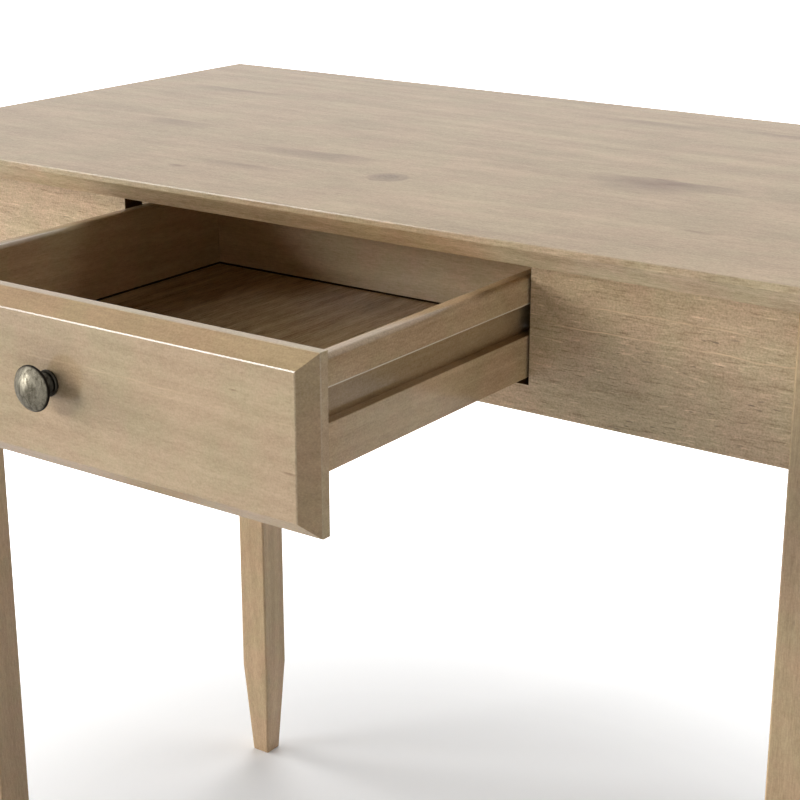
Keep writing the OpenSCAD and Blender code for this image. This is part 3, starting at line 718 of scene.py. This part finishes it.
# The runners are painted dark as shade, where they show at the end of the groove.
RUNNER_PAINTED_SHADE = {"light": srgb(112, 90, 66), "dark": srgb(84, 65, 45), "gloss": 0.4}
TRAITS = {
    "tabletop": {"figure": 1.3, "gloss": 0.65, "soft": 0.4, "tint": 0.65, "marks": TOP_MARKS,
                 "knots": [((0.0135, -0.0128, TOP_LEVEL), 0.0175)]},
    "apron_front": {"rough": 0.8, "light": srgb(208, 183, 149), "dark": srgb(178, 153, 120),
                    "scratches": [(0.190, 0.42, 0.6975, 1.0), (0.205, 0.36, 0.7135, 0.8)]},
    "drawer_front": {"stretch": 0.6, "soft": 0.6, "marks": FRONT_MARKS,
                     "light": srgb(200, 176, 143), "dark": srgb(174, 150, 118),
                     "scratches": [(-0.03, 0.12, 0.7035, 0.3), (0.07, 0.2, 0.6985, 0.25)]},
    "drawer_bottom": {"figure": 2.2, "stretch": 1.7, "gloss": 0.15, "tint": 0.5,
                      "light": srgb(197, 171, 133), "dark": srgb(170, 143, 107)},
    # The drawer's left side and back show only inside the drawer, in its shade: their greyer pine, and
    # the back's lighter pine, are painted light.
    "drawer_side_left": {"light": srgb(194, 171, 140), "dark": srgb(168, 145, 116), "tint": 1.3},
    "drawer_side_right": {"figure": 1.3, "soft": 0.7},
    "drawer_back": {"light": srgb(212, 191, 161), "dark": srgb(186, 164, 136), "tint": 1.3},
    "runner_left": RUNNER_PAINTED_SHADE,
    "runner_right": RUNNER_PAINTED_SHADE,
}
finishes = {node: pine("pine " + node.replace("_", " "), grain, (0.37 * i, 0.11 * i, 0.05 * i),
                       **TRAITS.get(node, {}))
            for i, (node, grain) in enumerate(GRAIN.items())}

# Dressing
shapes = {"tabletop": tabletop(), "apron_front": front_apron(), "drawer_front": drawer_front(),
          "drawer_back": drawer_back(), "drawer_bottom": bottom_panel()}
for corner in ("front_left", "front_right", "back_left", "back_right"):
    shapes["leg_" + corner] = leg("leg_" + corner)
for side in ("back", "left", "right"):
    shapes["apron_" + side] = plain_apron("apron_" + side)
for side in ("left", "right"):
    shapes["drawer_side_" + side] = drawer_side("drawer_side_" + side)
# Single flat cuts ease the edges of these two, and each cut stays crisp.
FLAT_CUTS = {"tabletop": 14, "drawer_front": 14}
for node, shape in shapes.items():
    piece(node, shape, finishes[node], FLAT_CUTS.get(node, ROUNDED), PAINTED_LIGHT_AND_SHADE.get(node, ()))
piece("knob", knob(), pewter())

zinc = zinc_plate()
for node, carried in frame["nodes"].items():
    if node not in shapes and node != "knob":
        for slot in carried.material_slots:
            slot.material = finishes.get(node, zinc)


# Room
FLOOR_REACH = 12
FLOOR_BOUNCE = grey(0.88)
FLOOR_SEEN = grey(0.81)
# The floor's glow starts at the edge of an oval painted shadow round the desk, and is full at an oval
# GLOW_FULL times as large.
GLOW = 1.5
PAINTED_SHADOW_PLACE = (0.1, 0.08, 0)
PAINTED_SHADOW_TURN = (0, 0, 1.08)
PAINTED_SHADOW_HALF_SIZE = (0.26, 0.36, 1)
GLOW_FULL = 4.66
AMBIENT = 0.028


def floor():
    """A pale floor. To the camera it glows away from the desk, so that it runs out to white. Less glow
    near the desk paints a soft shadow round it.
    """
    bm = bmesh.new()
    bmesh.ops.create_grid(bm, x_segments=1, y_segments=1, size=FLOOR_REACH)
    mesh = bpy.data.meshes.new("floor")
    bm.to_mesh(mesh)
    bm.free()
    made = bpy.data.objects.new("floor", mesh)
    bpy.context.scene.collection.objects.link(made)
    finish = Finish("pale floor")
    oval = finish.node("Mapping", {"vector_type": "TEXTURE"},
                       {"Vector": finish.coords, "Location": PAINTED_SHADOW_PLACE, "Rotation": PAINTED_SHADOW_TURN,
                        "Scale": PAINTED_SHADOW_HALF_SIZE})
    away = finish.node("MapRange", {"interpolation_type": "SMOOTHSTEP"},
                       {"Value": finish.length(oval), "From Min": 1, "From Max": GLOW_FULL})
    glow = finish.node("Emission", {}, {"Color": away, "Strength": GLOW})
    seen = finish.node("BsdfDiffuse", {}, {"Color": FLOOR_SEEN})
    bright = finish.node("AddShader", {}, {0: seen, 1: glow})
    bounce = finish.node("BsdfDiffuse", {}, {"Color": FLOOR_BOUNCE})
    surface = finish.mix_shaders(bounce, bright, finish.ray("Camera"))
    finish.feed(finish.nodes["Material Output"].inputs["Surface"], surface)
    mesh.materials.append(finish.material)


def world():
    """White to the camera and in reflections, and a plain level of ambient light elsewhere."""
    room = bpy.data.worlds.new("white room")
    bpy.context.scene.world = room
    room.use_nodes = True
    tree = Tree(room.node_tree)
    mirrored = tree.ray("Glossy").math("MAXIMUM", tree.ray("Transmission"))
    direct = tree.ray("Camera").math("MAXIMUM", mirrored)
    dim = tree.node("Background", {}, {"Color": grey(1), "Strength": AMBIENT})
    white = tree.node("Background", {}, {"Color": grey(1), "Strength": 1})
    tree.feed(tree.nodes["World Output"].inputs["Surface"], tree.mix_shaders(dim, white, direct))


def light(name, kind, power, toward):
    """A new lamp that shines from the side that toward points to."""
    data = bpy.data.lights.new(name, kind)
    data.energy = power
    made = bpy.data.objects.new(name, data)
    made.rotation_euler = toward.to_track_quat("Z", "Y").to_euler()
    bpy.context.scene.collection.objects.link(made)
    return made


def far_lamp(name, azimuth, elevation, power, spread, mirrored=True):
    """A soft far lamp. Azimuth 0 lies in front of the desk, and 90 off its right-hand end.

    mirrored is whether it shows in reflections.
    """
    turn, lift = math.radians(azimuth), math.radians(elevation)
    toward = Vector((math.sin(turn) * math.cos(lift), -math.cos(turn) * math.cos(lift), math.sin(lift)))
    made = light(name, "SUN", power, toward)
    made.data.angle = math.radians(spread)
    made.visible_glossy = mirrored


def softbox(name, place, target, size, power):
    """A square soft lamp at a place, aimed at a target."""
    made = light(name, "AREA", power, Vector(place) - Vector(target))
    made.location = place
    made.data.shape = "SQUARE"
    made.data.size = size


floor()
world()
far_lamp("left_window", azimuth=-80, elevation=10, power=3.5, spread=28, mirrored=False)
far_lamp("front_window", azimuth=-41, elevation=14, power=0.98, spread=15)
far_lamp("high_window", azimuth=-53, elevation=31, power=0.4, spread=12)
far_lamp("right_fill", azimuth=75, elevation=10, power=0.03, spread=40)
far_lamp("ceiling", azimuth=-150, elevation=58, power=1.2, spread=30)
far_lamp("back_ceiling", azimuth=130, elevation=55, power=0.48, spread=30)
softbox("softbox", place=(-1.41, -1.69, 0.75), target=(0, 0, 0.65), size=1.2, power=4.5)
softbox("right_bounce", place=(2.2, -0.3, 0.12), target=(0, -0.2, 0.6), size=1.0, power=3.0)

# Camera, solved from the photo's straight edges
CAMERA_PLACE = (0.8044, -1.1113, 1.0397)
CAMERA_TURN = math.radians(35.35)
CAMERA_DIP = math.radians(18.52)

camera = bpy.data.cameras.new("camera")
camera.sensor_width = 36
camera.lens = 82.62
camera.clip_end = 50
eye = bpy.data.objects.new("camera", camera)
eye.location = CAMERA_PLACE
ahead = Vector((-math.sin(CAMERA_TURN) * math.cos(CAMERA_DIP),
                math.cos(CAMERA_TURN) * math.cos(CAMERA_DIP), -math.sin(CAMERA_DIP)))
eye.rotation_euler = ahead.to_track_quat("-Z", "Y").to_euler()
bpy.context.scene.collection.objects.link(eye)
bpy.context.scene.camera = eye

bpy.context.scene.view_settings.view_transform = "Standard"
